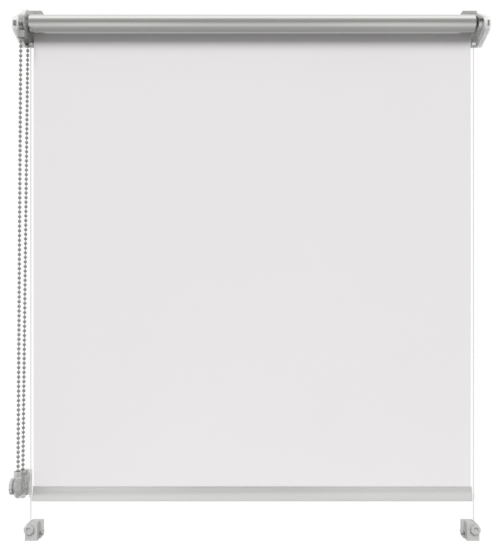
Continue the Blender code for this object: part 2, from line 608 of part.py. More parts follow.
def tensioner(parent):
    """Pulley housing on the sash that keeps the chain taut."""
    centre = (-AXIS_DEPTH, -PULLEY_DROP)
    top, bottom = -PULLEY_DROP + 0.0165, -PULLEY_DROP - 0.0150
    inner, outer = PULLEY_X - INNER_ROOM, PULLEY_X + OUTER_ROOM
    body = box("tensioner_body", (-outer - OUTER_THICK - 0.0018, -0.0022, bottom - 0.0015),
               (-WIRE_X - 0.0009, 0, top + 0.0005), parent, CLEAR)
    front = -AXIS_DEPTH - CHEEK_RADIUS
    cheek = ([(-0.001, top), (front + 0.0010, top + CHEEK_RISE), (front, top + CHEEK_RISE - 0.0010)]
             + arc(centre, CHEEK_RADIUS, 180, 290, 10) + [(-0.001, bottom)])
    join(body, prism("tensioner_inner_cheek", cheek, "X", -inner, -inner + CHEEK_THICK, parent))
    join(body, prism("tensioner_outer_cheek", cheek, "X", -outer - OUTER_THICK, -outer, parent))
    wall = ([(front, top + CHEEK_RISE - 0.0010)] + arc(centre, CHEEK_RADIUS, 180, 250, 8)
            + arc(centre, CHEEK_RADIUS - OUTER_THICK, 250, 180, 8)
            + [(front + OUTER_THICK, top + CHEEK_RISE - 0.0010)])
    join(body, prism("tensioner_front", wall, "X", -outer - OUTER_THICK / 2,
                     -inner + CHEEK_THICK / 2, parent))
    join(body, turned("tensioner_boss", [(-inner + CHEEK_THICK - 0.0003, BOSS_RADIUS),
                                         (-inner + CHEEK_THICK + 0.0009, BOSS_RADIUS),
                                         (-inner + CHEEK_THICK + 0.0014, BOSS_RADIUS - 0.0006)],
                      empty("tensioner_boss_axis", parent, (0, *centre)), segments=32))
    for number in range(3):
        depth = -0.0035 - number * 0.0032
        join(body, box(f"tensioner_flute_{number}", (-inner + CHEEK_THICK - 0.0004, depth - 0.0016,
                                                     bottom + 0.004),
                       (-inner + CHEEK_THICK + 0.0007, depth, top - 0.0012), parent))
    axis = empty("pulley_axis", parent, (0, *centre))
    pin = PULLEY_BORE - GAP
    cut(body, turned("tensioner_pin_hole", [(-outer - OUTER_THICK - 0.001, PULLEY_BORE),
                                            (-inner + CHEEK_THICK + 0.002, PULLEY_BORE)],
                     axis, segments=20))
    turned("tensioner_pin", [(-outer - OUTER_THICK + 0.0002, pin), (-inner + CHEEK_THICK, pin)],
           axis, STEEL, segments=20)
    chain_wheel("tensioner_pulley", PULLEY_POCKETS, PULLEY_PITCH, PULLEY_WIDTH, PULLEY_BORE,
                (0.0006, PULLEY_BORE + 0.0014), empty("pulley_plane", axis, (-PULLEY_X, 0, 0)), GREY)
    for word, z in (("upper", top - 0.0050), ("lower", bottom + 0.0050)):
        cut(body, turned(f"tensioner_{word}_hole", [(-0.004, 0.0014), (0.002, 0.0014)],
                         empty(f"tensioner_{word}", parent, (-PULLEY_X, 0, z)), axis="Y", segments=16))
        screw(f"tensioner_screw_{word}", -PULLEY_X, z, 0.0022, 0.0023, parent)
    back = -outer - OUTER_THICK - GAP
    lobes = []
    for step in range(48):
        angle = 2 * math.pi * step / 48
        radius = TENSIONER_KNOB_RADIUS - 0.0005 + 0.0005 * math.cos(12 * angle)
        lobes.append((radius * math.cos(angle), radius * math.sin(angle)))
    knob = prism("tensioner_knob", lobes, "X", back - 0.0040, back - 0.0075, axis, CLEAR,
                 round_end=0.0006)
    join(knob, turned("tensioner_knob_hub", [(back, 0.0042), (back - 0.0045, 0.0060)], axis))


def main():
    clear_scene()
    middle = empty("blind_middle", None, (MOUNT_X, 0, 0))
    bracket("bracket_left", DRIVE, middle)
    plate = join(bracket("bracket_right", IDLER, middle), idler_hood(middle))
    room = PLATE_IN[IDLER] - GAP / 2
    cut(plate, turned("idler_hub_room", [(room - 0.0090, IDLER_HUB_RADIUS + GAP),
                                         (room, IDLER_HUB_RADIUS + GAP)],
                      empty("idler_hub_axis", middle, (0, -AXIS_DEPTH, 0)), segments=40))
    end_cover("cover_left", DRIVE, middle)
    end_cover("cover_right", IDLER, middle)
    drive_housing(middle)
    roller(middle)
    bottom_bar(middle)
    for word, side in (("left", DRIVE), ("right", IDLER)):
        guide_wire(word, side, middle)
        holder(word, side, middle)
    chain(middle)
    tensioner(middle)


main()
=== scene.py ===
"""A small roller blind: cloth that falls off the back of a roller, a bead chain on the left
with its tensioner, a bottom bar that runs on two side wires, and clear covers over the ends."""
import json
import math

import bmesh
import bpy
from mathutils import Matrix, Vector


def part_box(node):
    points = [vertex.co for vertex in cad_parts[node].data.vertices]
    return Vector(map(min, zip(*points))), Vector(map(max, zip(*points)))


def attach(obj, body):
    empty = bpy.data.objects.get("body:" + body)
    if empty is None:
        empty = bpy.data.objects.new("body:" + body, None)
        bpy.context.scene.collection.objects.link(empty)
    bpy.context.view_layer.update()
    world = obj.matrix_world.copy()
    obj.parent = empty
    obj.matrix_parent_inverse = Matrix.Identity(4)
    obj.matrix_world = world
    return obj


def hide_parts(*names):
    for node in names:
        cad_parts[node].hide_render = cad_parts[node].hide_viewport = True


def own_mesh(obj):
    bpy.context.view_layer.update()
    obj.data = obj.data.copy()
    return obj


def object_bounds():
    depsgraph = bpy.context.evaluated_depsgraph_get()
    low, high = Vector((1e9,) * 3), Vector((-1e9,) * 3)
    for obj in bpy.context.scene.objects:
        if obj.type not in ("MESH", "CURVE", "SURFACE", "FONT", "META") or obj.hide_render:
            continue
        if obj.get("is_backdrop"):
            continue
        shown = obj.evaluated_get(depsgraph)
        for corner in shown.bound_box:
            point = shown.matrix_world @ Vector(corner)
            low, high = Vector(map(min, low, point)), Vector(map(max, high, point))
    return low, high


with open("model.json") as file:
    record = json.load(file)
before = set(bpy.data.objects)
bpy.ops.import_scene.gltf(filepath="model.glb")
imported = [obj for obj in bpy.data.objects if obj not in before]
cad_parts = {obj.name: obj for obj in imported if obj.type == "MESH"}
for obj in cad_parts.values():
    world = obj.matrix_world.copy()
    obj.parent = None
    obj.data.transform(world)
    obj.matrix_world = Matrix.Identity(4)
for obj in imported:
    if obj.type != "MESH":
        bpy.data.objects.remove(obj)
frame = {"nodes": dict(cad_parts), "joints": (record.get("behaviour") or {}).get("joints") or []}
cad_low, cad_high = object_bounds()


# ---- camera ----
# Level with the middle of the blind and square to it, a little less than a metre away.
cloth_low, cloth_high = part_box("fabric_sheet")
middle_x = (cloth_low.x + cloth_high.x) / 2
camera_distance, camera_height, camera_aside = 0.920, -0.3252, 0.0035
camera_data = bpy.data.cameras.new("camera")
camera_data.lens = 45.9
camera_data.clip_start = 0.01
camera = bpy.data.objects.new("camera", camera_data)
camera.location = (middle_x - camera_aside, cloth_low.y - camera_distance, camera_height)
camera.rotation_euler = (math.radians(90), 0, 0)
bpy.context.scene.collection.objects.link(camera)
bpy.context.scene.camera = camera


# ---- brackets ----
# Two pressed steel angles, plated a satin grey, screwed to the sash. The edges are rolled
# slightly by the press, and the plating has a fine grain along the plate.
class Wire:
    """A node's output. Arithmetic on it adds Math nodes."""

    def __init__(self, nodes, socket):
        self.nodes = nodes
        self.socket = socket

    def math(self, operation, first, second=0.0):
        return self.nodes.node("ShaderNodeMath", {"operation": operation}, {0: first, 1: second})

    def __add__(self, other):
        return self.math("ADD", self, other)

    def __sub__(self, other):
        return self.math("SUBTRACT", self, other)

    def __rsub__(self, other):
        return self.math("SUBTRACT", other, self)

    def __mul__(self, other):
        return self.math("MULTIPLY", self, other)

    def __truediv__(self, other):
        return self.math("DIVIDE", self, other)

    def __rtruediv__(self, other):
        return self.math("DIVIDE", other, self)

    def __gt__(self, other):
        return self.math("GREATER_THAN", self, other)

    def __lt__(self, other):
        return self.math("LESS_THAN", self, other)

    __radd__, __rmul__ = __add__, __mul__


class Nodes:
    """A node tree that is being wired, in a material or in Geometry Nodes."""

    def __init__(self, tree):
        self.tree = tree

    def feed(self, socket, value):
        if isinstance(value, Wire):
            self.tree.links.new(value.socket, socket)
        else:
            socket.default_value = value

    def node(self, kind, settings=None, sockets=None, out=0):
        made = self.tree.nodes.new(kind)
        for key, value in (settings or {}).items():
            if key == "stops":
                ramp = made.color_ramp.elements
                while len(ramp) < len(value):
                    ramp.new(0.5)
                for stop, (place, shade) in zip(ramp, value):
                    stop.position = place
                    stop.color = (shade, shade, shade, 1) if isinstance(shade, float) else shade
            else:
                setattr(made, key, value)
        for key, value in (sockets or {}).items():
            self.feed(made.inputs[key], value)
        return Wire(self, made.outputs[out])

    def axis(self, vector, index):
        return self.node("ShaderNodeSeparateXYZ", {}, {0: vector}, out=index)

    def fade(self, value, start, end):
        """0 where the value is at the start, 1 where it reaches the end."""
        return self.node("ShaderNodeMapRange", {}, {"Value": value, "From Min": start, "From Max": end})


class Paint(Nodes):
    """A material whose Principled shader takes constants, and links for what varies."""

    def __init__(self, name, **constants):
        self.material = bpy.data.materials.new(name)
        self.material.use_nodes = True
        super().__init__(self.material.node_tree)
        self.shader = self.tree.nodes["Principled BSDF"]
        self.place = self.node("ShaderNodeTexCoord", out="Object")
        for key, value in constants.items():
            name = {"ior": "IOR", "specular_ior_level": "Specular IOR Level"}.get(
                key, key.replace("_", " ").title())
            self.shader.inputs[name].default_value = value

    def noise(self, scale, detail=3.0, stretch=(1, 1, 1), roughness=0.5):
        spread = self.node("ShaderNodeMapping", {}, {"Vector": self.place, "Scale": stretch})
        return self.node("ShaderNodeTexNoise", {}, {"Vector": spread, "Scale": scale, "Detail": detail,
                                                    "Roughness": roughness})

    def tint(self, mask, *shades):
        low, high = (shade if isinstance(shade, Wire) else (*shade, 1) for shade in shades)
        return self.node("ShaderNodeMix", {"data_type": "RGBA"}, {"Factor": mask, 6: low, 7: high}, out=2)

    def bump(self, height, depth, strength=1.0, normal=None):
        sockets = {"Height": height, "Distance": depth, "Strength": strength}
        if normal:
            sockets["Normal"] = normal
        return self.node("ShaderNodeBump", {}, sockets)

    def use(self, colour=None, roughness=None, normal=None):
        for key, value in (("Base Color", colour), ("Roughness", roughness), ("Normal", normal)):
            if value is not None:
                self.feed(self.shader.inputs[key], value)
        return self.material


def plain_finish(name, low, high, scale, rough, stretch=(1, 1, 1), depth=0.00002, **constants):
    """A moulded or plated surface: two close shades, uneven gloss and a fine grain."""
    paint = Paint(name, **constants)
    cloud = paint.noise(scale, 4.0, stretch)
    grain = paint.noise(scale * 14, 2.0, stretch)
    return paint.use(paint.tint(cloud, low, high), rough + (cloud - 0.5) * 0.16,
                     paint.bump(grain, depth, 0.6))


weld, flat_angle, crease_angle = 2e-6, math.radians(1.5), math.radians(40)


def repaint(mesh, material):
    mesh.materials.clear()
    mesh.materials.append(material)


def smooth_copy(name, node, material, edge=0.00025, segments=2, angle=32):
    """The CAD solid's own shape with its flats cleaned up and its sharp edges rounded."""
    mesh = frame["nodes"][node].data.copy()
    bm = bmesh.new()
    bm.from_mesh(mesh)
    bmesh.ops.remove_doubles(bm, verts=bm.verts, dist=weld)
    bmesh.ops.dissolve_limit(bm, angle_limit=flat_angle, verts=bm.verts, edges=bm.edges)
    for face in bm.faces:
        face.smooth = True
    bm.to_mesh(mesh)
    bm.free()
    repaint(mesh, material)
    piece = bpy.data.objects.new(name, mesh)
    bpy.context.scene.collection.objects.link(piece)
    bevel = piece.modifiers.new("edges", "BEVEL")
    bevel.width = edge
    bevel.segments = segments
    bevel.limit_method = "ANGLE"
    bevel.angle_limit = math.radians(angle)
    bevel.harden_normals = True
    return settle(piece)


def settle(piece):
    """Applies a piece's modifiers, so that its mesh is final."""
    graph = bpy.context.evaluated_depsgraph_get()
    piece.data = bpy.data.meshes.new_from_object(piece.evaluated_get(graph))
    piece.modifiers.clear()
    piece.data.set_sharp_from_angle(angle=crease_angle)
    return piece


def finish_piece(piece, body, slot, *nodes):
    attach(piece, body)
    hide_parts(*nodes)
    return piece


plating = Paint("bracket plating", metallic=0.20)
plate_cloud = plating.noise(45, 4.0, (1, 1, 0.3))
plate_x, plate_y, plate_z = (plating.axis(plating.place, index) for index in range(3))
sideways = plate_x.math("ABSOLUTE", plate_x - middle_x)
on_catch = sideways > middle_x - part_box("cover_left")[1].x
hood_reach, plate_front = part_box("idler_hub")[1].x - middle_x, -0.0025
on_hood = (sideways < hood_reach) * (plate_y < plate_front) * (plate_z > 0.0)
# Painted light: the plate is painted dark at the top, where the key lights it, and fades to a light grey
# lower down, as a painted fill for the roll's shadow there.
painted_fill_below = plating.fade(plate_z, 0.012, 0.004)
plate_tone = plating.tint(painted_fill_below, (0.37, 0.37, 0.36), (0.86, 0.86, 0.845))
plate_tone = plating.tint(plate_cloud * 0.35, plate_tone, (0.50, 0.50, 0.49))
# Painted shade: the catch and the hood over the idler are painted dark grey, standing in for the shadow in
# the slot and under the hood.
painted_shade_dark = (0.24, 0.24, 0.235)
bracket_plating = plating.use(
    plating.tint(on_catch.math("MAXIMUM", on_catch, on_hood), plate_tone, painted_shade_dark),
    0.40 + (plate_cloud - 0.5) * 0.16, plating.bump(plating.noise(630, 2.0, (1, 1, 0.3)), 0.00002, 0.6))
for side in ("left", "right"):
    bracket = smooth_copy(f"{side}_angle_bracket", f"bracket_{side}", bracket_plating, 0.0003)
    finish_piece(bracket, "mount", "bracket_grey", f"bracket_{side}")


# ---- bracket, holder and tensioner screws ----
# Pan-head screws of zinc-plated steel with a cross recess, driven into the window frame.
zinc = plain_finish("zinc plating", (0.48, 0.48, 0.47), (0.62, 0.62, 0.60), 260, 0.34,
                    metallic=1.0)
screw_nodes = sorted(name for name in frame["nodes"] if "screw" in name)
for name in screw_nodes:
    screw = smooth_copy(name + "_turned", name, zinc, 0.00012, 2, 25)
    finish_piece(screw, "mount", "screw_steel", name)


# ---- end covers ----
# Clear moulded caps that clip over the side plates. Light passes, but the walls are
# slightly grey, and every edge is drafted and rounded.
clear = Paint("clear moulding", ior=1.46, alpha=0.34)
haze = clear.noise(60, 3.0)
clear_cover = clear.use(clear.tint(haze, (0.95, 0.96, 0.95), (0.99, 1.0, 0.99)),
                        0.06 + haze * 0.08, clear.bump(clear.noise(900, 2.0), 0.00001, 0.4))
for side in ("left", "right"):
    cover = smooth_copy(f"{side}_clear_cover", f"cover_{side}", clear_cover, 0.00035, 3)
    finish_piece(cover, "mount", "cover_clear", f"cover_{side}")


# ---- drive housing and idler boss ----
# Frosted moulded housing over the chain wheel, with a window in front and a chute below, and
# a round grey boss on the other bracket.
frosted = Paint("frosted moulding", ior=1.46)
mist = frosted.noise(80, 3.0)
level = frosted.axis(frosted.place, 2)
# Painted shade: the housing is painted darker and more opaque towards its bottom, where it stands in shade.
painted_shade_below = frosted.fade(level, 0.0, -0.012)
# Painted highlight: the top of the housing is painted near white and more opaque, where it catches the
# overhead light.
painted_highlight_top = frosted.fade(level, 0.003, 0.008)
frosted.feed(frosted.shader.inputs["Alpha"], 0.28 + painted_shade_below * 0.47 + painted_highlight_top * 0.34)
frosted_tone = frosted.tint(painted_shade_below, (0.76, 0.76, 0.75), (0.36, 0.36, 0.35))
frosted_tone = frosted.tint(painted_highlight_top, frosted_tone, (0.97, 0.97, 0.96))
frosted_plastic = frosted.use(frosted.tint(mist * 0.3, frosted_tone, (0.66, 0.66, 0.65)),
                              0.30 + mist * 0.12, frosted.bump(frosted.noise(900, 2.0), 0.00002, 0.4))
dark_plastic = plain_finish("dark moulding", (0.09, 0.09, 0.088), (0.13, 0.13, 0.128), 120, 0.44)
grey_plastic = plain_finish("grey moulding", (0.52, 0.52, 0.51), (0.58, 0.58, 0.57), 90, 0.36)
housing = smooth_copy("chain_housing", "drive_housing", frosted_plastic, 0.00025)
finish_piece(housing, "mount", "moulding_clear", "drive_housing")
pale_plastic = plain_finish("pale moulding", (0.72, 0.72, 0.71), (0.80, 0.80, 0.79), 90, 0.36)
boss = smooth_copy("idler_boss", "idler_hub", pale_plastic, 0.0003, 3, 20)
finish_piece(boss, "mount", "moulding_grey", "idler_hub")


# ---- roller tube, plugs and clutch ----
# Inside the roll: a mill-finish tube, its two plugs, the fixed core with its wrap springs
# and the idler pin. They stay as built and only take their own finish.
tube_metal = plain_finish("mill aluminium", (0.62, 0.62, 0.61), (0.72, 0.72, 0.71), 30, 0.34,
                          (0.05, 1, 1), metallic=1.0)
spring_wire = plain_finish("spring wire", (0.38, 0.38, 0.39), (0.52, 0.52, 0.52), 400, 0.28,
                           metallic=1.0)
tape_film = plain_finish("fixing tape", (0.80, 0.79, 0.76), (0.86, 0.85, 0.82), 200, 0.55)
inner_finishes = {
    "roller_tube": tube_metal, "drive_plug": dark_plastic, "idler_plug": dark_plastic,
    "drive_core": dark_plastic, "idler_pin": zinc, "clutch_spring_1": spring_wire,
    "clutch_spring_2": spring_wire, "fixing_tape": tape_film, "tensioner_pin": zinc,
}
for name, material in inner_finishes.items():
    repaint(frame["nodes"][name].data, material)


# ---- cloth on the roller ----
# Blackout cloth with a silver metallised back. It winds over the top of the roller with the
# white side in, so the roll shows silver, and its turns show as a spiral at the ends.
roll_low, roll_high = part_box("fabric_roll")
axis_y, axis_z = (roll_low.y + roll_high.y) / 2, (roll_low.z + roll_high.z) / 2
roll_radius = (roll_high.z - roll_low.z) / 2
cloth_thick = cloth_high.y - cloth_low.y


def mesh_piece(name, bm, *materials):
    mesh = bpy.data.meshes.new(name)
    for face in bm.faces:
        face.smooth = True
    bm.to_mesh(mesh)
    bm.free()
    for material in materials:
        mesh.materials.append(material)
    piece = bpy.data.objects.new(name, mesh)
    bpy.context.scene.collection.objects.link(piece)
    return piece


def grid(rows):
    """A bmesh surface through rows of points."""
    bm = bmesh.new()
    made = [[bm.verts.new(point) for point in row] for row in rows]
    for here, there in zip(made, made[1:]):
        for i in range(len(here) - 1):
            bm.faces.new((here[i], here[i + 1], there[i + 1], there[i]))
    return bm


def closed_shell(bm):
    """Merges the seam of a grid, caps its open ends and turns every face outwards."""
    bmesh.ops.remove_doubles(bm, verts=bm.verts, dist=1e-7)
    bmesh.ops.holes_fill(bm, edges=[edge for edge in bm.edges if edge.is_boundary], sides=0)
    bmesh.ops.recalc_face_normals(bm, faces=bm.faces)
    return bm


weave_pitch = 0.00045
silver = Paint("silver cloth back", metallic=0.95)
streak = silver.noise(8, 3.0, (1, 6, 6))
threads = silver.noise(1600, 1.0, (0.5, 1, 1))
silver_back = silver.use(silver.tint(streak, (0.60, 0.60, 0.58), (0.65, 0.65, 0.63)),
                         0.22 + (streak - 0.5) * 0.08, silver.bump(threads, 0.000012, 0.5))
white = Paint("white blackout cloth", sheen_weight=0.12, sheen_roughness=0.5,
              specular_ior_level=0.25)
spun, rise = white.axis(white.place, 0), white.axis(white.place, 2)
slub = white.noise(1400, 2.0, (1, 1, 0.1))
wide_slub = white.noise(1400, 2.0, (0.1, 1, 1))
thread_angle = 2 * math.pi / weave_pitch
across = spun.math("SINE", spun * thread_angle)
along = rise.math("SINE", rise * thread_angle)
weave = across * along
cloud = white.noise(5, 2.0)
white_front = white.use(
    white.tint(cloud * 0.5 + slub * 0.25 + wide_slub * 0.25, (0.748, 0.730, 0.736), (0.794, 0.776, 0.782)),
    0.78 + (slub - 0.5) * 0.1, white.bump(weave * 0.5 + slub * 0.2 + wide_slub * 0.2, 0.00001, 0.5))

turns, steps_a_turn, roll_columns, wound_squeeze = 6, 72, 12, 0.92
rows = []
for step in range(turns * steps_a_turn + 1):
    turn = step / steps_a_turn
    radius = roll_radius - cloth_thick / 2 - turn * cloth_thick
    angle = 2 * math.pi * turn
    rows.append([(roll_low.x + (roll_high.x - roll_low.x) * column / roll_columns,
                  axis_y + radius * math.cos(angle), axis_z + radius * math.sin(angle))
                 for column in range(roll_columns + 1)])
wound = mesh_piece("wound_cloth", grid(rows), white_front, silver_back)
wall = wound.modifiers.new("cloth", "SOLIDIFY")
wall.thickness = cloth_thick * wound_squeeze
wall.offset = 0
wall.material_offset = 1
settle(wound)
finish_piece(wound, "roller", "cloth_silver", "fabric_roll")


# ---- hanging cloth ----
# One flat sheet from the back of the roll down into the bottom bar. It is stiff enough to
# hang without folds, with a very slight cup along its cut sides. The metal beside it mirrors
# the studio and not the cloth.
drop = cloth_high.z - cloth_low.z
sheet_columns, sheet_rows, cup_depth = 48, 60, 0.0006
rows = []
for r in range(sheet_rows + 1):
    z = cloth_high.z - drop * r / sheet_rows
    down = r / sheet_rows
    row = []
    for c in range(sheet_columns + 1):
        share = c / sheet_columns * 2 - 1
        cup = cup_depth * abs(share) ** 6 * math.sin(math.pi * down)
        row.append((middle_x + share * (cloth_high.x - cloth_low.x) / 2,
                    (cloth_low.y + cloth_high.y) / 2 - cup, z))
    rows.append(row)
hanging = mesh_piece("hanging_cloth", grid(rows), silver_back, white_front)
hanging.visible_glossy = False
wall = hanging.modifiers.new("cloth", "SOLIDIFY")
wall.thickness = cloth_thick
wall.offset = 0
wall.material_offset = 1
settle(hanging)
finish_piece(hanging, "mount", "cloth_white", "fabric_sheet")
lift = next(joint for joint in frame["joints"] if joint["name"] == "bar_lift")["range_m"][1]
(drop - lift) / drop
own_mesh(hanging)


# ---- bottom bar ----
# Satin grey extrusion, thin at the top where the cloth goes in and flat below the crease,
# with a moulded cap and a wire eyelet on each end. The hem is held inside by a plastic rod.
anodised = Paint("satin extrusion", metallic=0.6)
drawn = anodised.noise(60, 3.0, (0.02, 1, 1))
bar_low, bar_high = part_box("bottom_bar")
edge_band = 0.003
# Painted light: the lower face is painted lighter than the upper face, standing in for how the two faces
# catch the light.
painted_light_lower = anodised.fade(anodised.axis(anodised.place, 2), bar_high.z - edge_band, bar_low.z + edge_band)
# Painted reflection: the upper face is painted darker in the middle than towards the ends, standing in for
# a dark reflection.
off_middle = anodised.axis(anodised.place, 0) - middle_x
toward_ends = anodised.fade(off_middle.math("ABSOLUTE", off_middle), 0.06, 0.16)
upper_painted_reflection = anodised.tint(toward_ends, (0.61, 0.61, 0.60), (0.70, 0.70, 0.69))
painted_light_tone = anodised.tint(painted_light_lower, upper_painted_reflection, (0.90, 0.90, 0.89))
satin = anodised.use(anodised.tint(drawn * 0.3, painted_light_tone, (0.76, 0.76, 0.75)),
                     0.40 + (drawn - 0.5) * 0.12,
                     anodised.bump(anodised.noise(900, 2.0, (0.01, 1, 1)), 0.000015, 0.5))
cap_plastic = plain_finish("cap moulding", (0.76, 0.76, 0.75), (0.82, 0.82, 0.81), 110, 0.42)
rod_plastic = plain_finish("hem rod", (0.30, 0.30, 0.30), (0.36, 0.36, 0.36), 110, 0.5)
bar_y, bar_top = (bar_low.y + bar_high.y) / 2, bar_high.z
bar_tall, bar_half = bar_top - bar_low.z, (bar_high.y - bar_low.y) / 2
hem_depth, hem_room, slot_half = 0.0062, 0.0023, 0.0008


def bar_side():
    """Half of the bar's section, from the slot's lip round the outside to its foot."""
    lip = [(slot_half, 0.0), (0.0019, 0.0), (0.0023, -0.0004), (0.0023, -0.0013)]
    groove = [(0.0018, -0.0016), (0.0018, -0.0020), (0.0022, -0.0024)]
    face = [(bar_half, -0.0095), (bar_half, -bar_tall + 0.0005), (bar_half - 0.0005, -bar_tall)]
    return lip + groove + face


def hem_room_side():
    """Half of the room that the hem lies in, from its foot up to the slot."""
    neck = math.asin(slot_half / hem_room)
    room_steps = 12
    turned = [-math.pi / 2 + (math.pi - neck) * step / room_steps for step in range(room_steps + 1)]
    return [(hem_room * math.cos(a), -hem_depth + hem_room * math.sin(a)) for a in turned]


right = hem_room_side() + bar_side()
outline = right + [(-y, z) for y, z in reversed(right)][:-1]
length_ends = (bar_low.x, bar_high.x)
bar_rows = [[(x, bar_y + y, bar_top + z) for y, z in outline + outline[:1]] for x in length_ends]
bar = mesh_piece("bar_extrusion", closed_shell(grid(bar_rows)), satin)
rounding = bar.modifiers.new("drawn edges", "BEVEL")
rounding.width = 0.00015
rounding.segments = 2
rounding.limit_method = "ANGLE"
rounding.harden_normals = True
settle(bar)
finish_piece(bar, "bar", "bar_aluminium", "bottom_bar")
for side in ("left", "right"):
    cap = smooth_copy(f"{side}_bar_cap", f"bar_cap_{side}", cap_plastic, 0.0003, 3, 25)
    finish_piece(cap, "bar", "cap_grey", f"bar_cap_{side}")
for name, material in (("fabric_hem", white_front), ("bar_spline", rod_plastic)):
    repaint(frame["nodes"][name].data, material)


# ---- guide wires ----
# A taut steel wire on each side, crimped above the bracket's lug and clamped at the bottom.
wire_steel = plain_finish("coated wire", (0.66, 0.66, 0.66), (0.74, 0.74, 0.74), 700, 0.3,
                          (1, 1, 0.3), metallic=0.1)
wire_steps, wire_sides = 168, 12
for side in ("left", "right"):
    low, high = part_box(f"guide_wire_{side}")
    radius = (high.x - low.x) / 2
    rows = []
    for step in range(wire_steps + 1):
        z = low.z + (high.z - low.z) * step / wire_steps
        rows.append([(low.x + radius + radius * math.cos(2 * math.pi * k / wire_sides),
                      low.y + radius + radius * math.sin(2 * math.pi * k / wire_sides), z)
                     for k in range(wire_sides + 1)])
    wire = mesh_piece(f"{side}_guide_wire", closed_shell(grid(rows)), wire_steel)
    finish_piece(wire, "mount", "wire_steel", f"guide_wire_{side}")
    ferrule = smooth_copy(f"{side}_ferrule", f"wire_ferrule_{side}", zinc, 0.00015, 2, 25)
    finish_piece(ferrule, "mount", "wire_steel", f"wire_ferrule_{side}")


# ---- wire holders ----
# Milky mouldings on the sash below the blind. The screw of each one's knob pinches the wire.
milky = Paint("milky moulding", ior=1.46, alpha=0.82)
milk_cloud = milky.noise(70, 3.0)
milky_plastic = milky.use(milky.tint(milk_cloud, (0.53, 0.53, 0.52), (0.59, 0.59, 0.58)),
                          0.34 + milk_cloud * 0.12, milky.bump(milky.noise(900, 2.0), 0.00002, 0.4))
for side in ("left", "right"):
    holder = smooth_copy(f"{side}_wire_holder", f"wire_holder_{side}", milky_plastic, 0.0004, 3)
    finish_piece(holder, "mount", "moulding_clear", f"wire_holder_{side}")
    knob = smooth_copy(f"{side}_clamp_knob", f"holder_knob_{side}", milky_plastic, 0.0004, 3, 25)
    finish_piece(knob, f"wire_knob_{side}", "moulding_clear", f"holder_knob_{side}")


# ---- bead chain ----
# An endless nickel-plated chain: hollow steel beads on short pieces of wire, one bead in
# each pocket of the chain wheel and of the tensioner's pulley.
nickel = plain_finish("nickel plating", (0.36, 0.36, 0.355), (0.50, 0.50, 0.49), 900, 0.26,
                      metallic=1.0)
top_low, top_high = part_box("chain_top_loop")
foot_low, foot_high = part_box("chain_bottom_loop")
bead_radius = (top_high.x - top_low.x) / 2


def loop_centre(low, high, radius):
    return Vector(((low.x + high.x) / 2, (low.y + high.y) / 2, 0)), (high.y - low.y) / 2 - radius


wheel_middle, wheel_pitch = loop_centre(top_low, top_high, bead_radius)
pulley_middle, pulley_pitch = loop_centre(foot_low, foot_high, bead_radius)
wheel_middle.z, pulley_middle.z = top_low.z, foot_high.z
arc_steps = 24
path = []
for middle, pitch, start in ((wheel_middle, wheel_pitch, 0), (pulley_middle, pulley_pitch, 180)):
    for step in range(arc_steps + 1):
        angle = math.radians(start + 180 * step / arc_steps)
        path.append(middle + Vector((0, pitch * math.cos(angle), pitch * math.sin(angle))))
line = bpy.data.meshes.new("chain line")
line.from_pydata(path, [(i, (i + 1) % len(path)) for i in range(len(path))], [])
length = sum((path[i] - path[i - 1]).length for i in range(len(path)))
bead_pitch, link_radius = 0.006, 0.00045
chain = bpy.data.objects.new("bead_chain", line)
bpy.context.scene.collection.objects.link(chain)


def shaping_tree(name, inputs):
    """An empty Geometry Nodes tree with these named number inputs."""
    tree = bpy.data.node_groups.new(name, "GeometryNodeTree")
    tree.interface.new_socket("Geometry", in_out="INPUT", socket_type="NodeSocketGeometry")
    for label, kind in inputs.items():
        tree.interface.new_socket(label, in_out="INPUT", socket_type=kind)
    tree.interface.new_socket("Geometry", in_out="OUTPUT", socket_type="NodeSocketGeometry")
    return Nodes(tree)


def apply_tree(piece, shaping, values):
    """Runs a Geometry Nodes tree on a piece with named values and keeps the mesh."""
    step = piece.modifiers.new(shaping.tree.name, "NODES")
    step.node_group = shaping.tree
    for item in shaping.tree.interface.items_tree:
        if item.in_out == "INPUT" and item.name in values:
            step[item.identifier] = values[item.name]
    return settle(piece)


beads = shaping_tree("beads on a chain", {"Beads": "NodeSocketInt", "Bead radius": "NodeSocketFloat",
                                          "Link radius": "NodeSocketFloat"})
given = beads.tree.nodes.new("NodeGroupInput")
source = {output.name: Wire(beads, output) for output in given.outputs if output.name}
curve = beads.node("GeometryNodeMeshToCurve", {}, {"Mesh": source["Geometry"]})
even = beads.node("GeometryNodeResampleCurve", {}, {"Curve": curve, "Count": source["Beads"]})
tangent = beads.node("GeometryNodeInputTangent")
facing = beads.node("FunctionNodeAlignRotationToVector", {"axis": "Z"}, {"Vector": tangent})
bead = beads.node("GeometryNodeMeshUVSphere", {}, {"Segments": 14, "Rings": 9,
                                                   "Radius": source["Bead radius"]})
placed = beads.node("GeometryNodeInstanceOnPoints", {}, {"Points": even, "Instance": bead,
                                                         "Rotation": facing})
ring = beads.node("GeometryNodeCurvePrimitiveCircle", {}, {"Resolution": 6,
                                                           "Radius": source["Link radius"]})
links = beads.node("GeometryNodeCurveToMesh", {}, {"Curve": curve, "Profile Curve": ring})
both = beads.node("GeometryNodeJoinGeometry")
beads.tree.links.new(placed.socket, both.socket.node.inputs[0])
beads.tree.links.new(links.socket, both.socket.node.inputs[0])
real = beads.node("GeometryNodeRealizeInstances", {}, {0: both})
smooth = beads.node("GeometryNodeSetShadeSmooth", {}, {0: real})
painted = beads.node("GeometryNodeSetMaterial", {}, {"Geometry": smooth, "Material": nickel})
beads.feed(beads.tree.nodes.new("NodeGroupOutput").inputs[0], painted)
apply_tree(chain, beads, {"Beads": round(length / bead_pitch), "Bead radius": bead_radius,
                          "Link radius": link_radius})
repaint(chain.data, nickel)
finish_piece(chain, "mount", "chain_nickel", "chain_front_strand", "chain_rear_strand",
             "chain_top_loop", "chain_bottom_loop")


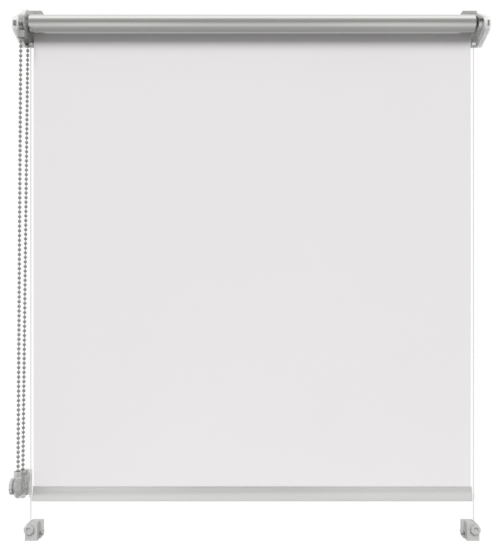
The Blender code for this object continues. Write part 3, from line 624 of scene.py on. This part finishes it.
# ---- chain wheel and tensioner pulley ----
# Moulded wheels with a round groove that clears the beads at every turn, a shallow pocket
# for each bead and a narrow slot for the links between.
def pocket_wheel(name, node, pockets, pitch, centre, phase):
    """A wheel turned from its section at each angle, which is deeper where a bead sits."""
    low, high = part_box(node)
    bore = min(math.hypot(v.co.y - centre.y, v.co.z - centre.z) for v in frame["nodes"][node].data.vertices)
    rim = max(high.z - low.z, high.y - low.y) / 2
    half, wall = bead_radius + 0.0008, 0.0002
    groove, pocket, link_slot = bead_radius + 0.0002, bead_radius + 0.0006, 0.0009
    steps_a_pocket, lanes, hub_share = 14, 18, 0.3
    steps = pockets * steps_a_pocket
    sections = []
    for step in range(steps):
        angle = 2 * math.pi * step / steps
        near = ((angle - phase) * pockets / (2 * math.pi) + 0.5) % 1 - 0.5
        run = near * 2 * math.pi / pockets * pitch
        section = [(low.x, bore), (low.x, rim)]
        for lane in range(lanes + 1):
            w = (lane / lanes * 2 - 1) * half
            radius = rim
            if abs(w) < link_slot:
                radius = min(radius, pitch - link_slot)
            for space in (groove ** 2 - w * w, pocket ** 2 - w * w - run * run):
                if space > 0:
                    radius = min(radius, pitch - math.sqrt(space))
            section.append((centre.x + w, radius))
        hub = bore + (rim - bore) * hub_share
        flange = centre.x + half + wall
        section += [(flange, rim), (flange, hub), (high.x, hub), (high.x, bore)]
        sections.append([(w, centre.y + r * math.cos(angle), centre.z + r * math.sin(angle))
                         for w, r in section])
    closed = [row + row[:1] for row in sections + sections[:1]]
    wheel = mesh_piece(name, closed_shell(grid(closed)), grey_plastic)
    wheel.data.set_sharp_from_angle(angle=crease_angle)
    return wheel


bead_step = length / round(length / bead_pitch)
first_foot = length / 2 + (math.pi * (wheel_pitch - pulley_pitch)) / 2
foot_phase = math.pi + ((-first_foot) % bead_step) / pulley_pitch
wheel = pocket_wheel("pocket_wheel", "chain_wheel", 15, wheel_pitch, wheel_middle, 0.0)
finish_piece(wheel, "roller", "moulding_grey", "chain_wheel")
pulley = pocket_wheel("pocket_pulley", "tensioner_pulley", 10, pulley_pitch, pulley_middle, foot_phase)
finish_piece(pulley, "pulley", "moulding_grey", "tensioner_pulley")


# ---- chain tensioner ----
# A clear housing on the sash with two cheeks round the pulley, ribbed on its inner cheek,
# and a fluted knob on the outside. The pulley and its beads show through the front.
glassy = Paint("clear tensioner moulding", ior=1.46)
flow = glassy.noise(150, 4.0, (1, 1, 0.6), 0.6)
flow_marks = glassy.fade(flow, 0.38, 0.62)
glassy.feed(glassy.shader.inputs["Alpha"], 0.30 + flow_marks * 0.22)
glassy_plastic = glassy.use(glassy.tint(flow_marks, (0.74, 0.74, 0.73), (0.46, 0.46, 0.45)),
                            0.16 + flow * 0.14, glassy.bump(glassy.noise(420, 2.0), 0.00006, 0.6))
tensioner = smooth_copy("tensioner_housing", "tensioner_body", glassy_plastic, 0.00025)
finish_piece(tensioner, "mount", "moulding_clear", "tensioner_body")
tension_knob = smooth_copy("fluted_knob", "tensioner_knob", milky_plastic, 0.0003, 2, 25)
finish_piece(tension_knob, "tension_knob", "moulding_clear", "tensioner_knob")


# ---- studio ----
# A pale floor well below the blind, one broad light from high in front, and a white tent
# whose grey panels give the metal its bands. The background itself is plain white.
floor_radius, floor_drop, key_height, key_spread = 0.60, 0.29, 38, 30
floor_bm = bmesh.new()
bmesh.ops.create_circle(floor_bm, cap_ends=True, segments=64, radius=floor_radius)
for vert in floor_bm.verts:
    vert.co += Vector((middle_x, 0, cad_low.z - floor_drop))
floor_finish = plain_finish("pale floor", (0.45, 0.45, 0.45), (0.49, 0.49, 0.49), 3, 0.7)
floor = mesh_piece("floor", floor_bm, floor_finish)
floor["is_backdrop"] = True
key = bpy.data.lights.new("key", "SUN")
key.energy = 2.52
key.angle = math.radians(key_spread)
key_lamp = bpy.data.objects.new("key", key)
key_lamp.rotation_euler = (math.radians(90 - key_height), 0, 0)
key_lamp.visible_glossy = False
bpy.context.scene.collection.objects.link(key_lamp)
world = bpy.data.worlds.new("white tent")
bpy.context.scene.world = world
world.use_nodes = True
sky = Nodes(world.node_tree)
shell = world.node_tree.nodes["Background"]
direction = sky.node("ShaderNodeTexCoord", out="Generated")
across, depth, height = (sky.axis(direction, index) for index in range(3))
elevation = height.math("ARCTAN2", height, depth * -1.0) / (2 * math.pi)
around = elevation.math("FRACT", elevation + 1.0)
bands = sky.node("ShaderNodeValToRGB", {"stops": [
    (0.0, 0.48), (0.04, 0.37), (0.078, 0.43), (0.117, 0.54), (0.15, 0.85), (0.185, 1.45), (0.215, 1.55),
    (0.25, 1.15), (0.34, 1.00), (0.43, 1.05), (0.55, 0.60), (0.70, 0.40), (0.80, 0.50), (0.865, 0.68),
    (0.90, 0.80), (0.937, 0.80), (0.971, 0.62), (1.0, 0.48)]}, {0: around})
wide = across.math("ABSOLUTE", across)
sides = sky.node("ShaderNodeValToRGB", {"stops": [
    (0.0, 0.0), (0.12, 0.0), (0.17, 1.0), (0.21, 1.0), (0.27, 0.0)]}, {0: wide})
low_front = sky.node("ShaderNodeValToRGB", {"stops": [
    (0.0, 0.6), (0.03, 0.0), (0.84, 0.0), (0.92, 1.0), (0.97, 1.0), (1.0, 0.6)]}, {0: around})
tent = sky.node("ShaderNodeValToRGB", {"stops": [
    (0.40, 0.20), (0.55, 0.40), (0.80, 0.45)]}, {0: height * 0.5 + 0.5})
ends = sky.node("ShaderNodeValToRGB", {"stops": [(0.50, 0.0), (0.85, 1.0)]}, {0: wide})
path = sky.tree.nodes.new("ShaderNodeLightPath")
glossy = Wire(sky, path.outputs["Is Glossy Ray"])
seen = Wire(sky, path.outputs["Is Camera Ray"])
through = Wire(sky, path.outputs["Is Transmission Ray"])
shine = bands + sides * low_front * 0.35
glow = tent + ends * 0.35
lit = sky.node("ShaderNodeMix", {"data_type": "RGBA"}, {"Factor": glossy, 6: glow, 7: shine}, out=2)
lit = sky.node("ShaderNodeMix", {"data_type": "RGBA"},
               {"Factor": seen.math("MAXIMUM", seen, through), 6: lit, 7: (1, 1, 1, 1)}, out=2)
sky.feed(shell.inputs["Color"], lit)
bpy.context.scene.view_settings.view_transform = "Standard"

low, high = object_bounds()
